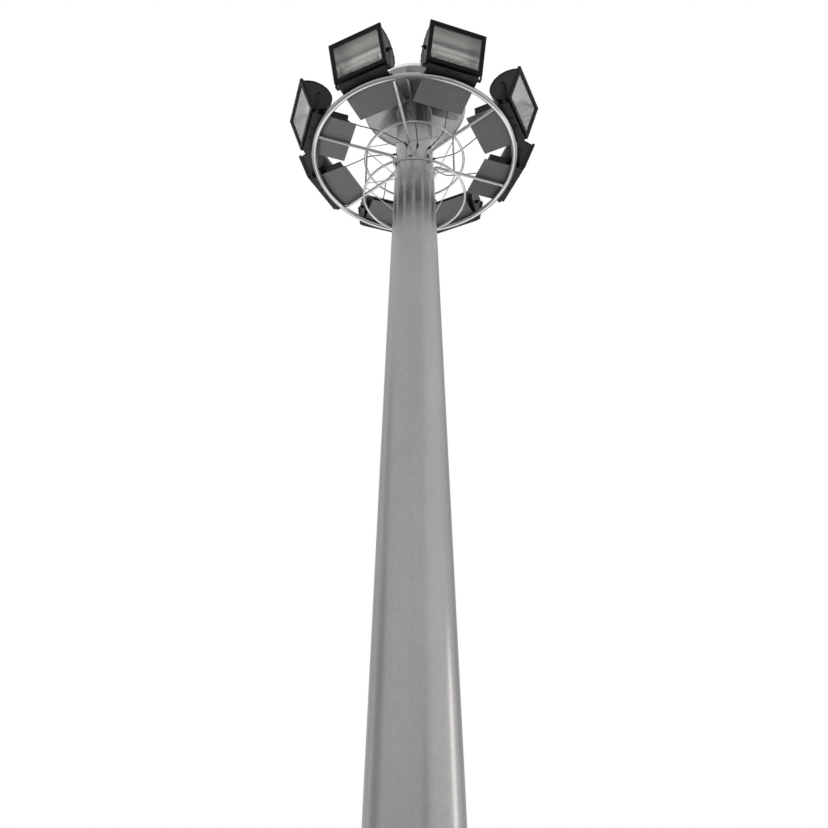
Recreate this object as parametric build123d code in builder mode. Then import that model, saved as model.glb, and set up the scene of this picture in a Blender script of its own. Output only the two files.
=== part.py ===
from build123d import *
import math
import os

# High mast floodlight tower: a tapered tubular mast on a bolted base flange, a ring of
# eight floodlights carried on six cranked arms, and a spun canopy over the mast head.
# Millimetres, +Z up, origin at the centre of the base flange's underside.
# Azimuths are degrees from -Y (the front) towards +X.

# ---- Mast -------------------------------------------------------------------------------
mast_height = 9472.0
mast_base_diameter = 900.0
mast_top_diameter = 415.0
mast_wall = 8.0

# ---- Base flange and stiffeners ---------------------------------------------------------
flange_thickness = 40.0
flange_overhang = 130.0
flange_ledge = 90.0
bolt_set_out = 70.0
bolt_count = 16
bolt_hole = 39.0
gusset_height = 240.0
gusset_thickness = 15.0
gusset_edge_margin = 15.0
gusset_tip = 25.0

# ---- Access door at the back ------------------------------------------------------------
door_sill = 650.0
door_width = 240.0
door_height = 620.0
door_corner = 60.0
door_frame_bar = 30.0
door_frame_stand = 22.0
door_plate = 4.0
door_clearance = 2.0

# ---- Carrier rings ----------------------------------------------------------------------
ring_drop = 832.0
ring_radius = 1200.0
ring_tube = 64.0
cage_radius = 592.0
cage_tube = 28.0
cage_lift = 3.0
cage_drop = 571.0
post_diameter = 20.0
tie_diameter = 10.0
tie_end_angle = 3.0

# ---- Cranked arms -----------------------------------------------------------------------
arm_count = 6
arm_first_azimuth = -11.0
arm_tube = 38.0
arm_bend = 62.0
arm_leg = 100.0
arm_seat = 2.0

# ---- Floodlights ------------------------------------------------------------------------
light_count = 8
light_first_azimuth = -26.2
light_aim = 21.0
pivot_set_out = 67.0
swing_clearance = 6.65
drum_radius = 220.0
drum_centre = 57.0
drum_half_width = 304.0
drum_wall = 4.0
end_rim = 14.0
end_recess = 4.0
front_reach = 155.0
front_side_margin = 18.0
front_margin = 10.0
front_depth = 36.0
front_bar = 42.0
front_lip = 13.0
front_chamfer = 6.0
glass_thickness = 6.0
glass_overlap = 8.0
glass_clearance = 1.0
reflector_depth = 197.0
reflector_sheet = 2.0
reflector_flats = 12
reflector_inset = 4.0
reflector_clearance = 2.0

# ---- Stirrups and pivots ----------------------------------------------------------------
stirrup_bar = 6.0
stirrup_width = 40.0
stirrup_gap = 6.0
stirrup_bend = 18.0
pivot_bolt = 16.0
pivot_clearance = 1.0
pivot_boss = 44.0
boss_gap = 1.0
knob_diameter = 24.0
knob_length = 6.0

# ---- Carrier plates on top of the ring, and the control gear boxes on them ----------------
carrier_plate = 6.0
carrier_seat = 2.0
carrier_overhang = 20.0
carrier_set_in = 401.0
carrier_width = 580.0
gear_inset = 96.0
gear_side_inset = 31.0
gear_depth = 195.0
gear_height = 139.0

# ---- Supply cables ----------------------------------------------------------------------
cable_diameter = 12.0
gland_diameter = 22.0
gear_gland_length = 24.0
mast_gland_length = 30.0
cable_turn_radius = 439.0

# ---- Head -------------------------------------------------------------------------------
head_plate_thickness = 15.0
head_plate_margin = 12.0
canopy_radius = 642.0
canopy_lift = 66.0
canopy_skirt = 42.0
canopy_rise = 175.0
canopy_skin = 3.0
brace_count = 6
brace_thickness = 8.0
brace_inner = 70.0
brace_tip_inset = 70.0
brace_tip_depth = 26.0

ring_height = mast_height - ring_drop
canopy_rim_height = mast_height + canopy_lift
brace_tip = canopy_radius - brace_tip_inset
flange_diameter = mast_base_diameter + 2 * flange_overhang
flange_bore = mast_base_diameter - 2 * flange_ledge
bolt_circle = mast_base_diameter + 2 * bolt_set_out
front_width = 2 * (drum_half_width + front_side_margin)
front_height = 2 * (drum_radius + front_margin)
mast_taper = (mast_base_diameter - mast_top_diameter) / 2 / (mast_height - flange_thickness)
light_azimuths = [light_first_azimuth + 360 / light_count * index for index in range(light_count)]
arm_azimuths = [arm_first_azimuth + 360 / arm_count * index for index in range(arm_count)]
post_azimuths = arm_azimuths[1::2]
post_pitch = 360 / len(post_azimuths)
cage_upper_height = ring_height + cage_lift
cage_lower_height = ring_height - cage_drop
carrier_bottom = ring_height + ring_tube / 2 - carrier_seat
carrier_top = carrier_bottom + carrier_plate
carrier_inner = ring_radius - carrier_set_in
front_swing = math.hypot(front_reach, front_height / 2)
pivot_radius = ring_radius + pivot_set_out
pivot_height = carrier_top + stirrup_bar + front_swing + swing_clearance
carrier_outer = pivot_radius + stirrup_width / 2 + carrier_overhang
gear_inner = carrier_inner + gear_inset
stirrup_inner = front_width / 2 + stirrup_gap

# Supply cables, one for each floodlight: how far to the side of the floodlight's own centre
# line and how far above the ring's centre line it runs, at even steps in from its gear box.
cable_routes = [
    [(200, 105), (228, 80), (246, 64), (252, 64), (240, 70)],
    [(119, 105), (137, 78), (159, 62), (185, 62), (201, 70)],
    [(37, 105), (65, 78), (97, 62), (134, 62), (170, 70)],
    [(-7, 105), (20, 78), (53, 62), (104, 62), (159, 70)],
    [(85, 105), (72, 80), (62, 64), (56, 64), (50, 72)],
    [(142, 105), (160, 78), (176, 62), (202, 62), (222, 70)],
    [(215, 105), (241, 78), (255, 62), (265, 62), (255, 70)],
    [(229, 105), (238, 78), (257, 62), (258, 62), (243, 70)],
]

# Where each cable enters the mast: its azimuth, and its height above the ring's centre line.
cable_entries = [
    (8, 24), (50, 80), (95, 80), (128, 84), (162, 84), (228, 84), (280, 76), (333, 62)
]

os.makedirs("parts", exist_ok=True)


def mast_radius(height):
    """Outside radius of the mast at a height above the ground."""
    return mast_base_diameter / 2 - mast_taper * (height - flange_thickness)


def around(radius, azimuth, height):
    """Point at a radius and an azimuth round the mast."""
    angle = math.radians(azimuth)
    return Vector(radius * math.sin(angle), -radius * math.cos(angle), height)


def beside(radius, offset, azimuth, height):
    """Point at a radius along an azimuth, then square to it by an offset."""
    angle = math.radians(azimuth)
    return around(radius, azimuth, height) + Vector(math.cos(angle), math.sin(angle), 0) * offset


def radial_plane(azimuth, radius=0.0, height=0.0, aim=0.0):
    """Upright plane through the mast's axis: local X runs outward, dipped by aim."""
    angle = math.radians(azimuth)
    dip = math.radians(aim)
    outward = (math.cos(dip) * math.sin(angle), -math.cos(dip) * math.cos(angle), -math.sin(dip))
    return Plane(
        origin=around(radius, azimuth, height),
        x_dir=outward,
        z_dir=(-math.cos(angle), -math.sin(angle), 0),
    )


def facing_plane(azimuth, radius, height):
    """Upright plane square to an azimuth: local X runs sideways, local Y up."""
    angle = math.radians(azimuth)
    return Plane(
        origin=around(radius, azimuth, height),
        x_dir=(math.cos(angle), math.sin(angle), 0),
        z_dir=(math.sin(angle), -math.cos(angle), 0),
    )


def finish(part, label):
    """Name a finished piece and write it to its own file."""
    part.label = label
    export_step(part, f"parts/{label}.step")


def mast_cone(inset, bottom, top):
    """Solid cone that follows the mast, inset from its outside."""
    with BuildPart() as cone:
        with BuildSketch(Plane.XZ):
            with BuildLine():
                Polyline(
                    (0, bottom),
                    (mast_radius(bottom) - inset, bottom),
                    (mast_radius(top) - inset, top),
                    (0, top),
                    close=True,
                )
            make_face()
        revolve(axis=Axis.Z)
    return cone.part


# ---- Mast shaft, with the doorway cut through its back -----------------------------------
mast_solid = mast_cone(0, flange_thickness, mast_height)
mast_hollow = mast_cone(mast_wall, flange_thickness, mast_height)
door_centre = flange_thickness + door_sill + door_height / 2
door_plane = Plane(origin=(0, 0, door_centre), x_dir=(-1, 0, 0), z_dir=(0, 1, 0))
frame_outer_width = door_width + 2 * door_frame_bar
frame_outer_height = door_height + 2 * door_frame_bar
frame_face = mast_radius(door_centre - frame_outer_height / 2) + door_frame_stand

with BuildPart() as mast_shaft:
    add(mast_solid)
    add(mast_hollow, mode=Mode.SUBTRACT)
    with BuildSketch(door_plane):
        RectangleRounded(frame_outer_width, frame_outer_height, door_corner + door_frame_bar)
    extrude(amount=mast_base_diameter, mode=Mode.SUBTRACT)
finish(mast_shaft.part, "mast_shaft")

with BuildPart() as door_frame:
    with BuildSketch(door_plane):
        RectangleRounded(frame_outer_width, frame_outer_height, door_corner + door_frame_bar)
        RectangleRounded(door_width, door_height, door_corner, mode=Mode.SUBTRACT)
    extrude(amount=frame_face)
    add(mast_hollow, mode=Mode.SUBTRACT)
finish(door_frame.part, "door_frame")

with BuildPart() as access_door:
    with BuildSketch(door_plane.offset(frame_face)):
        RectangleRounded(
            door_width + door_frame_bar,
            door_height + door_frame_bar,
            door_corner + door_frame_bar / 2,
        )
    extrude(amount=door_plate)
    with BuildSketch(door_plane.offset(frame_face)):
        RectangleRounded(
            door_width - 2 * door_clearance,
            door_height - 2 * door_clearance,
            door_corner - door_clearance,
        )
    extrude(amount=-door_plate)
finish(access_door.part, "access_door")

# ---- Base flange and its stiffening gussets -----------------------------------------------
with BuildPart() as base_flange:
    with BuildSketch():
        Circle(flange_diameter / 2)
        Circle(flange_bore / 2, mode=Mode.SUBTRACT)
        with PolarLocations(bolt_circle / 2, bolt_count):
            Circle(bolt_hole / 2, mode=Mode.SUBTRACT)
    extrude(amount=flange_thickness)
finish(base_flange.part, "base_flange")

gusset_reach = flange_diameter / 2 - gusset_edge_margin
gusset_pitch = 360 / bolt_count
with BuildPart() as base_gussets:
    for index in range(bolt_count):
        with BuildSketch(radial_plane((index + 0.5) * gusset_pitch)):
            with BuildLine():
                Polyline(
                    (mast_radius(flange_thickness) - mast_wall, flange_thickness),
                    (gusset_reach, flange_thickness),
                    (gusset_reach, flange_thickness + gusset_tip),
                    (mast_radius(flange_thickness) + gusset_tip, flange_thickness + gusset_height),
                    (mast_radius(flange_thickness) - mast_wall, flange_thickness + gusset_height),
                    close=True,
                )
            make_face()
        extrude(amount=gusset_thickness / 2, both=True)
    add(mast_solid, mode=Mode.SUBTRACT)
finish(base_gussets.part, "base_gussets")


# ---- Carrier rings ------------------------------------------------------------------------
def tube_ring(radius, tube, height):
    """Round tube bent to a closed circle round the mast."""
    with BuildPart() as ring:
        with BuildSketch(Plane.XZ):
            with Locations((radius, height)):
                Circle(tube / 2)
        revolve(axis=Axis.Z)
    return ring.part


main_ring = tube_ring(ring_radius, ring_tube, ring_height)
finish(main_ring, "main_ring")

inner_ring_lower = tube_ring(cage_radius, cage_tube, cage_lower_height)
finish(inner_ring_lower, "inner_ring_lower")

# ---- Cranked arms, from the main ring in to the mast's face -------------------------------
leg_bottom = ring_height - arm_bend - arm_leg
leg_radius = mast_radius(leg_bottom) + arm_tube / 2 - arm_seat
with BuildPart() as arms:
    for azimuth in arm_azimuths:
        with BuildLine() as arm_path:
            FilletPolyline(
                around(ring_radius, azimuth, ring_height),
                around(leg_radius, azimuth, ring_height),
                around(leg_radius, azimuth, leg_bottom),
                radius=arm_bend,
            )
        with BuildSketch(facing_plane(azimuth, ring_radius, ring_height)):
            Circle(arm_tube / 2)
        sweep(path=arm_path.wires()[0])
    add(main_ring, mode=Mode.SUBTRACT)
    add(mast_solid, mode=Mode.SUBTRACT)
finish(arms.part, "arms")

with BuildPart() as inner_ring_upper:
    add(tube_ring(cage_radius, cage_tube, cage_upper_height))
    add(arms.part, mode=Mode.SUBTRACT)
finish(inner_ring_upper.part, "inner_ring_upper")

# ---- Posts and tie rods of the inner cage -------------------------------------------------
with BuildPart() as ring_posts:
    for azimuth in post_azimuths:
        with BuildSketch(Plane(origin=around(cage_radius, azimuth, cage_lower_height))):
            Circle(post_diameter / 2)
        extrude(amount=cage_drop)
    add(inner_ring_lower, mode=Mode.SUBTRACT)
    add(arms.part, mode=Mode.SUBTRACT)
finish(ring_posts.part, "ring_posts")

with BuildPart() as tie_rods:
    for height in (cage_upper_height, cage_lower_height):
        for index, azimuth in enumerate(post_azimuths):
            start = around(cage_radius, azimuth + tie_end_angle, height)
            end = around(cage_radius, azimuth + post_pitch - tie_end_angle, height)
            with BuildSketch(Plane(origin=start, z_dir=end - start)):
                Circle(tie_diameter / 2)
            extrude(amount=(end - start).length)
    add(inner_ring_upper.part, mode=Mode.SUBTRACT)
    add(inner_ring_lower, mode=Mode.SUBTRACT)
    add(arms.part, mode=Mode.SUBTRACT)
finish(tie_rods.part, "tie_rods")

# ---- Carrier plates, seated on the ring's crown --------------------------------------------
with BuildPart() as light_carriers:
    for azimuth in light_azimuths:
        middle = around(
            (carrier_inner + carrier_outer) / 2, azimuth, carrier_bottom + carrier_plate / 2
        )
        with Locations(Location(middle, (0, 0, azimuth - 90))):
            Box(carrier_outer - carrier_inner, carrier_width, carrier_plate)
    add(main_ring, mode=Mode.SUBTRACT)
finish(light_carriers.part, "light_carriers")

# ---- Stirrups -----------------------------------------------------------------------------
leg_centre = stirrup_inner + stirrup_bar / 2
leg_top = pivot_height - carrier_top
with BuildPart() as stirrups:
    for azimuth in light_azimuths:
        with BuildSketch(facing_plane(azimuth, pivot_radius, carrier_top)):
            with BuildLine():
                FilletPolyline(
                    (-leg_centre, leg_top),
                    (-leg_centre, stirrup_bar / 2),
                    (leg_centre, stirrup_bar / 2),
                    (leg_centre, leg_top),
                    radius=stirrup_bend,
                )
            trace(line_width=stirrup_bar)
        extrude(amount=stirrup_width / 2, both=True)
        pivot_plane = radial_plane(azimuth, pivot_radius, pivot_height)
        for side in (-1, 1):
            with BuildSketch(pivot_plane.offset(side * stirrup_inner)):
                Circle(stirrup_width / 2)
            extrude(amount=side * stirrup_bar)
        with BuildSketch(pivot_plane):
            Circle(pivot_bolt / 2 + pivot_clearance)
        extrude(amount=stirrup_inner + 2 * stirrup_bar, both=True, mode=Mode.SUBTRACT)
finish(stirrups.part, "stirrups")

# ---- Control gear boxes -------------------------------------------------------------------
with BuildPart() as gear_boxes:
    for azimuth in light_azimuths:
        middle = around(gear_inner + gear_depth / 2, azimuth, carrier_top + gear_height / 2)
        with Locations(Location(middle, (0, 0, azimuth - 90))):
            Box(gear_depth, carrier_width - 2 * gear_side_inset, gear_height)
finish(gear_boxes.part, "gear_boxes")

# ---- Cable glands and supply cables -------------------------------------------------------
cable_start = gear_inner - gear_gland_length


def cable_points(azimuth, route, entry):
    """Points of one supply cable, from the gear box in to the mast."""
    step = (cable_turn_radius - cable_start) / (len(route) - 1)
    points = []
    for index, (offset, lift) in enumerate(route):
        points.append(beside(cable_start + index * step, offset, azimuth, ring_height + lift))
    entry_azimuth, entry_lift = entry
    entry_height = ring_height + entry_lift
    entry_radius = mast_radius(entry_height) + mast_gland_length
    points.append(around(entry_radius, entry_azimuth, entry_height))
    return points


def bend_radii(points):
    """Largest tangent arcs that the runs beside each corner leave room for."""
    radii = []
    for before, corner, after in zip(points, points[1:], points[2:]):
        run = min((corner - before).length, (after - corner).length)
        turn = math.radians((corner - before).get_angle(after - corner))
        radii.append(0.45 * run / math.tan(turn / 2))
    return radii


all_points = [
    cable_points(azimuth, route, entry)
    for azimuth, route, entry in zip(light_azimuths, cable_routes, cable_entries)
]

with BuildPart() as cable_glands:
    for points in all_points:
        start, end = points[0], points[-1]
        first_run = (points[1] - start).normalized()
        last_run = (end - points[-2]).normalized()
        with BuildSketch(Plane(origin=start, z_dir=-first_run)):
            Circle(gland_diameter / 2)
        extrude(amount=2 * gear_gland_length)
        with BuildSketch(Plane(origin=end, z_dir=last_run)):
            Circle(gland_diameter / 2)
        extrude(amount=2 * mast_gland_length)
    add(gear_boxes.part, mode=Mode.SUBTRACT)
    add(mast_solid, mode=Mode.SUBTRACT)
finish(cable_glands.part, "cable_glands")

for index, points in enumerate(all_points):
    radii = bend_radii(points)
    with BuildPart() as cable:
        with BuildLine() as cable_path:
            FilletPolyline(*points, radius=radii)
        with BuildSketch(Plane(origin=points[0], z_dir=points[1] - points[0])):
            Circle(cable_diameter / 2)
        sweep(path=cable_path.wires()[0])
    length = cable_path.wires()[0].length
    ratio = cable.part.volume / (length * math.pi * cable_diameter**2 / 4)
    print(f"supply_cable_{index + 1}: {length:.1f} mm, volume ratio {ratio:.4f},"
          f" radii {', '.join(f'{radius:.0f}' for radius in radii)}")
    finish(cable.part, f"supply_cable_{index + 1}")

# ---- Head plate, canopy and the braces between them ---------------------------------------
with BuildPart() as head_plate:
    with BuildSketch(Plane.XY.offset(mast_height)):
        Circle(mast_top_diameter / 2 + head_plate_margin)
    extrude(amount=head_plate_thickness)
finish(head_plate.part, "head_plate")


def canopy_dome(inset):
    """Solid dome with a straight skirt, inset from the canopy's outside."""
    radius = canopy_radius - inset
    skirt_top = canopy_rim_height + canopy_skirt
    crown = skirt_top + canopy_rise - inset
    with BuildPart() as dome:
        with BuildSketch(Plane.XZ):
            with BuildLine():
                Line((0, canopy_rim_height), (radius, canopy_rim_height))
                Line((radius, canopy_rim_height), (radius, skirt_top))
                RadiusArc(
                    (radius, skirt_top),
                    (0, crown),
                    -(radius**2 + (crown - skirt_top) ** 2) / (2 * (crown - skirt_top)),
                )
                Line((0, crown), (0, canopy_rim_height))
            make_face()
        revolve(axis=Axis.Z)
    return dome.part


canopy_inside = canopy_dome(canopy_skin)
with BuildPart() as canopy:
    add(canopy_dome(0))
    add(canopy_inside, mode=Mode.SUBTRACT)
finish(canopy.part, "canopy")

brace_bottom = mast_height + head_plate_thickness
crown_height = canopy_rim_height + canopy_skirt + canopy_rise
with BuildPart() as canopy_braces:
    for index in range(brace_count):
        azimuth = arm_first_azimuth + 360 / brace_count * index
        with BuildSketch(radial_plane(azimuth)):
            with BuildLine():
                Polyline(
                    (brace_inner, brace_bottom),
                    (mast_top_diameter / 2, brace_bottom),
                    (brace_tip, canopy_rim_height + canopy_skirt - brace_tip_depth),
                    (brace_tip, crown_height),
                    (brace_inner, crown_height),
                    close=True,
                )
            make_face()
        extrude(amount=brace_thickness / 2, both=True)
    add(canopy_inside + mast_cone(0, mast_height, canopy_rim_height), mode=Mode.INTERSECT)
finish(canopy_braces.part, "canopy_braces")

# ---- Floodlights --------------------------------------------------------------------------
opening_width = front_width - 2 * front_bar
opening_height = front_height - 2 * front_bar
pane_width = opening_width + 2 * glass_overlap
pane_height = opening_height + 2 * glass_overlap
mouth_width = opening_width - 2 * reflector_inset
mouth_height = opening_height - 2 * reflector_inset
end_face = drum_half_width - end_recess


def drum_profile(radius, front):
    """D-shaped outline: half-round back, straight up to a flat front."""
    with BuildSketch() as profile:
        with BuildLine():
            ThreePointArc((drum_centre, radius), (drum_centre - radius, 0), (drum_centre, -radius))
            Line((drum_centre, -radius), (front, -radius))
            Line((front, -radius), (front, radius))
            Line((front, radius), (drum_centre, radius))
        make_face()
    return profile.sketch


def trough_points(front):
    """Corners of the trough reflector's section: equal steps of height on a parabola."""
    points = []
    for index in range(reflector_flats + 1):
        share = 2 * index / reflector_flats - 1
        points.append((front - reflector_depth * (1 - share**2), share * mouth_height / 2))
    return points


for index, azimuth in enumerate(light_azimuths):
    name = f"floodlight_{index + 1}"
    plane = radial_plane(azimuth, pivot_radius, pivot_height, light_aim)
    front_back = front_reach - front_depth
    glass_front = front_reach - front_lip

    with BuildPart() as housing:
        with BuildSketch(plane):
            add(drum_profile(drum_radius, front_back))
        extrude(amount=drum_half_width, both=True)
        with BuildSketch(plane):
            add(drum_profile(drum_radius - drum_wall, front_back))
        extrude(amount=end_face - drum_wall, both=True, mode=Mode.SUBTRACT)
        for side in (-1, 1):
            with BuildSketch(plane.offset(side * end_face)):
                add(drum_profile(drum_radius - end_rim, front_back - end_rim))
            extrude(amount=side * end_recess, mode=Mode.SUBTRACT)
            with BuildSketch(plane.offset(side * end_face)):
                Circle(pivot_boss / 2)
            extrude(amount=side * (stirrup_inner - boss_gap - end_face))
            with BuildSketch(plane.offset(side * end_face)):
                Circle(pivot_bolt / 2)
            extrude(amount=side * (stirrup_inner + stirrup_bar + boss_gap - end_face))
            with BuildSketch(plane.offset(side * (stirrup_inner + stirrup_bar + boss_gap))):
                Circle(knob_diameter / 2)
            extrude(amount=side * knob_length)
    finish(housing.part, f"{name}_housing")

    face_plane = Plane(
        origin=plane.from_local_coords((front_back, 0, 0)),
        x_dir=-plane.z_dir,
        z_dir=plane.x_dir,
    )
    with BuildPart() as front:
        with BuildSketch(face_plane):
            Rectangle(front_width, front_height)
            Rectangle(opening_width, opening_height, mode=Mode.SUBTRACT)
        extrude(amount=front_depth)
        with BuildSketch(face_plane):
            Rectangle(pane_width + 2 * glass_clearance, pane_height + 2 * glass_clearance)
        extrude(amount=front_depth - front_lip, mode=Mode.SUBTRACT)
        aim_axis = Axis(face_plane.origin, face_plane.z_dir)
        front_face = front.faces().filter_by(aim_axis).sort_by(aim_axis)[-1]
        chamfer(front_face.outer_wire().edges(), length=front_chamfer)
    finish(front.part, f"{name}_frame")

    with BuildPart() as glass:
        with BuildSketch(face_plane.offset(front_depth - front_lip - glass_thickness)):
            Rectangle(pane_width, pane_height)
        extrude(amount=glass_thickness)
    finish(glass.part, f"{name}_glass")

    with BuildPart() as reflector:
        with BuildSketch(plane):
            with BuildLine():
                Polyline(*trough_points(front_back))
            trace(line_width=reflector_sheet)
        extrude(amount=mouth_width / 2, both=True)
        for side in (-1, 1):
            with BuildSketch(plane.offset(side * mouth_width / 2)):
                with BuildLine():
                    Polyline(*trough_points(front_back), close=True)
                make_face()
            extrude(amount=side * reflector_sheet)
        with BuildSketch(face_plane):
            Rectangle(
                2 * (end_face - drum_wall - reflector_clearance),
                2 * (drum_radius - drum_wall - reflector_clearance),
            )
            Rectangle(mouth_width, mouth_height, mode=Mode.SUBTRACT)
        extrude(amount=-reflector_sheet)
    finish(reflector.part, f"{name}_reflector")
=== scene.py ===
"""High mast floodlight tower: finishes, fixings, cords, studio and camera round the CAD frame."""

import logging
import math
from dataclasses import asdict, dataclass, fields
from enum import Enum
from typing import ClassVar

import bmesh
import bpy
from mathutils import Matrix, Vector


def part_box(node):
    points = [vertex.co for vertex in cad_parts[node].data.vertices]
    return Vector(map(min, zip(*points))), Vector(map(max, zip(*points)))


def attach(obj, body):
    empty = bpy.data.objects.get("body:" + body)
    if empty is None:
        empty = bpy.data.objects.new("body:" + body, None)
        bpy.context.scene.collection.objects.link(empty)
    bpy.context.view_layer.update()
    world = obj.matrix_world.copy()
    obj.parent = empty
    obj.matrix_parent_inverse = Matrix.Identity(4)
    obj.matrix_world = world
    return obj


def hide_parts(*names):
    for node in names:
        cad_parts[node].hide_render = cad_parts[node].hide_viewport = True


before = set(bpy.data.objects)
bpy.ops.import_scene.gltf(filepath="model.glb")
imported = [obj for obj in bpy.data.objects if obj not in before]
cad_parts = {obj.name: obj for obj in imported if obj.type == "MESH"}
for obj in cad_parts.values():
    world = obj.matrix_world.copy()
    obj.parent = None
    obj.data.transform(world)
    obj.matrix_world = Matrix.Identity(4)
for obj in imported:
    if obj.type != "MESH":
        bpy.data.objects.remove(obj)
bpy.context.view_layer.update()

log = logging.getLogger("tower")

Colour = tuple[float, float, float]
Point = tuple[float, float, float]
Socket = bpy.types.NodeSocket
Value = Socket | float | str | tuple[float, ...]

TOWER = "tower"
MAST_TOP_RADIUS = 0.2075
FLANGE_TOP = 0.040
RING_HEIGHT = 8.640
PIVOT_RADIUS = 1.267
LIGHT_AZIMUTHS = [-26.2 + 45.0 * index for index in range(8)]
ARM_AZIMUTHS = [-11.0 + 60.0 * index for index in range(6)]
SIDES = (-1, 1)
UP = Vector((0.0, 0.0, 1.0))
PLAIN = (1.0, 1.0, 1.0)
# Colour of the painted shade on the mast's head.
PAINTED_SHADE = (0.03, 0.03, 0.03)
BLACK = (0.008, 0.008, 0.008)
WHITE = (1.0, 1.0, 1.0)


# ---- Places round the mast -----------------------------------------------------------------


def outward(azimuth: float) -> Vector:
    """Level direction away from the mast, in degrees from the front towards the right."""
    angle = math.radians(azimuth)
    return Vector((math.sin(angle), -math.cos(angle), 0.0))


def sideways(azimuth: float) -> Vector:
    """Level direction square to an azimuth, to its right seen from the mast."""
    angle = math.radians(azimuth)
    return Vector((math.cos(angle), math.sin(angle), 0.0))


def around(radius: float, azimuth: float, height: float, offset: float = 0.0) -> Vector:
    """Point round the mast.

    Args:
        radius: distance from the mast's axis.
        azimuth: direction in degrees.
        height: height above the ground.
        offset: distance square to the azimuth.

    Returns:
        The point in metres.
    """
    return outward(azimuth) * radius + sideways(azimuth) * offset + UP * height


def mast_radius(height: float) -> float:
    """Outside radius of the mast.

    Args:
        height: height above the ground.

    Returns:
        The radius in metres.
    """
    low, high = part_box("mast_shaft")
    share = (height - low[2]) / (high[2] - low[2])
    return high[0] + (MAST_TOP_RADIUS - high[0]) * share


# ---- Node trees ----------------------------------------------------------------------------


def emptied(owner: bpy.types.Material | bpy.types.World) -> bpy.types.NodeTree:
    """Gives a material or world an empty node tree.

    Args:
        owner: the material or world.

    Returns:
        Its node tree.
    """
    owner.use_nodes = True
    owner.node_tree.nodes.clear()
    return owner.node_tree


class NodeGraph:
    """A node tree, with the steps that shaders and geometry share."""

    def __init__(self, tree: bpy.types.NodeTree) -> None:
        """Works on that tree."""
        self.tree = tree

    def add(self, kind: str, **settings: object) -> bpy.types.Node:
        """Adds a node.

        Args:
            kind: its kind.
            settings: its properties.

        Returns:
            The node.
        """
        node = self.tree.nodes.new(kind)
        for name, value in settings.items():
            setattr(node, name, value)
        return node

    def feed(self, target: Socket, value: Value) -> None:
        """Links a socket to an input, or sets the input to a plain value.

        Args:
            target: the input.
            value: the socket, number, numbers or text that it gets.
        """
        if isinstance(value, Socket):
            self.tree.links.new(value, target)
        else:
            target.default_value = value

    def run(self, node: bpy.types.Node | str, output: str, **inputs: Value) -> Socket:
        """Feeds a node's inputs by name.

        Args:
            node: the node, or the kind of a new one.
            output: the name of the output that is wanted.
            inputs: what each input gets, underscores standing for spaces.

        Returns:
            The output's socket.
        """
        if isinstance(node, str):
            node = self.add(node)
        for name, value in inputs.items():
            self.feed(node.inputs[name.replace("_", " ")], value)
        return node.outputs[output]

    def math(self, operation: str, *values: Value) -> Socket:
        """Combines values by one operation, from left to right.

        Args:
            operation: the Math node's operation.
            values: two or more sockets or numbers.

        Returns:
            The result's socket.
        """
        result = values[0]
        for value in values[1:]:
            node = self.add("ShaderNodeMath", operation=operation)
            self.feed(node.inputs[0], result)
            self.feed(node.inputs[1], value)
            result = node.outputs["Value"]
        return result

    def spread(
        self, value: Socket, low: float, high: float, start: float = 0.25, end: float = 0.75
    ) -> Socket:
        """Maps one range to another and clamps at its ends.

        Args:
            value: the value.
            low: the result at the start and below.
            high: the result at the end and above.
            start: where the range starts; a noise lies mostly between the defaults.
            end: where it ends.

        Returns:
            The result's socket.
        """
        return self.run(
            "ShaderNodeMapRange", "Result",
            Value=value, From_Min=start, From_Max=end, To_Min=low, To_Max=high,
        )

    def backdrop_share(self) -> Socket:
        """1 for camera, glossy and transmitted rays, 0 for the rest.

        Returns:
            The share's socket.
        """
        rays = self.add("ShaderNodeLightPath").outputs
        kinds = ("Is Camera Ray", "Is Glossy Ray", "Is Transmission Ray")
        return self.math("MAXIMUM", *(rays[kind] for kind in kinds))


class Grain(Enum):
    """Fractal noises: features to the metre, octaves, and the scale on each axis."""

    PATCHES = (1.6, 4.0, PLAIN)
    RUN_MARKS = (14.0, 4.0, (1.0, 1.0, 0.035))
    # Streaks of painted shade on the mast's head.
    SOOT_STREAKS = (11.0, 2.0, (1.0, 1.0, 0.02))
    DIMPLES = (210.0, 3.0, PLAIN)
    GRIME = (6.0, 5.0, PLAIN)
    DRAWN_MARKS = (90.0, 2.0, (1.0, 1.0, 0.1))
    ROLLED_LINES = (34.0, 1.5, (0.01, 0.01, 1.0))
    DUST = (9.0, 6.0, PLAIN)
    ORANGE_PEEL = (420.0, 2.0, PLAIN)
    DUST_FILM = (14.0, 5.0, PLAIN)
    MOULDED_GRAIN = (160.0, 3.0, PLAIN)


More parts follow.
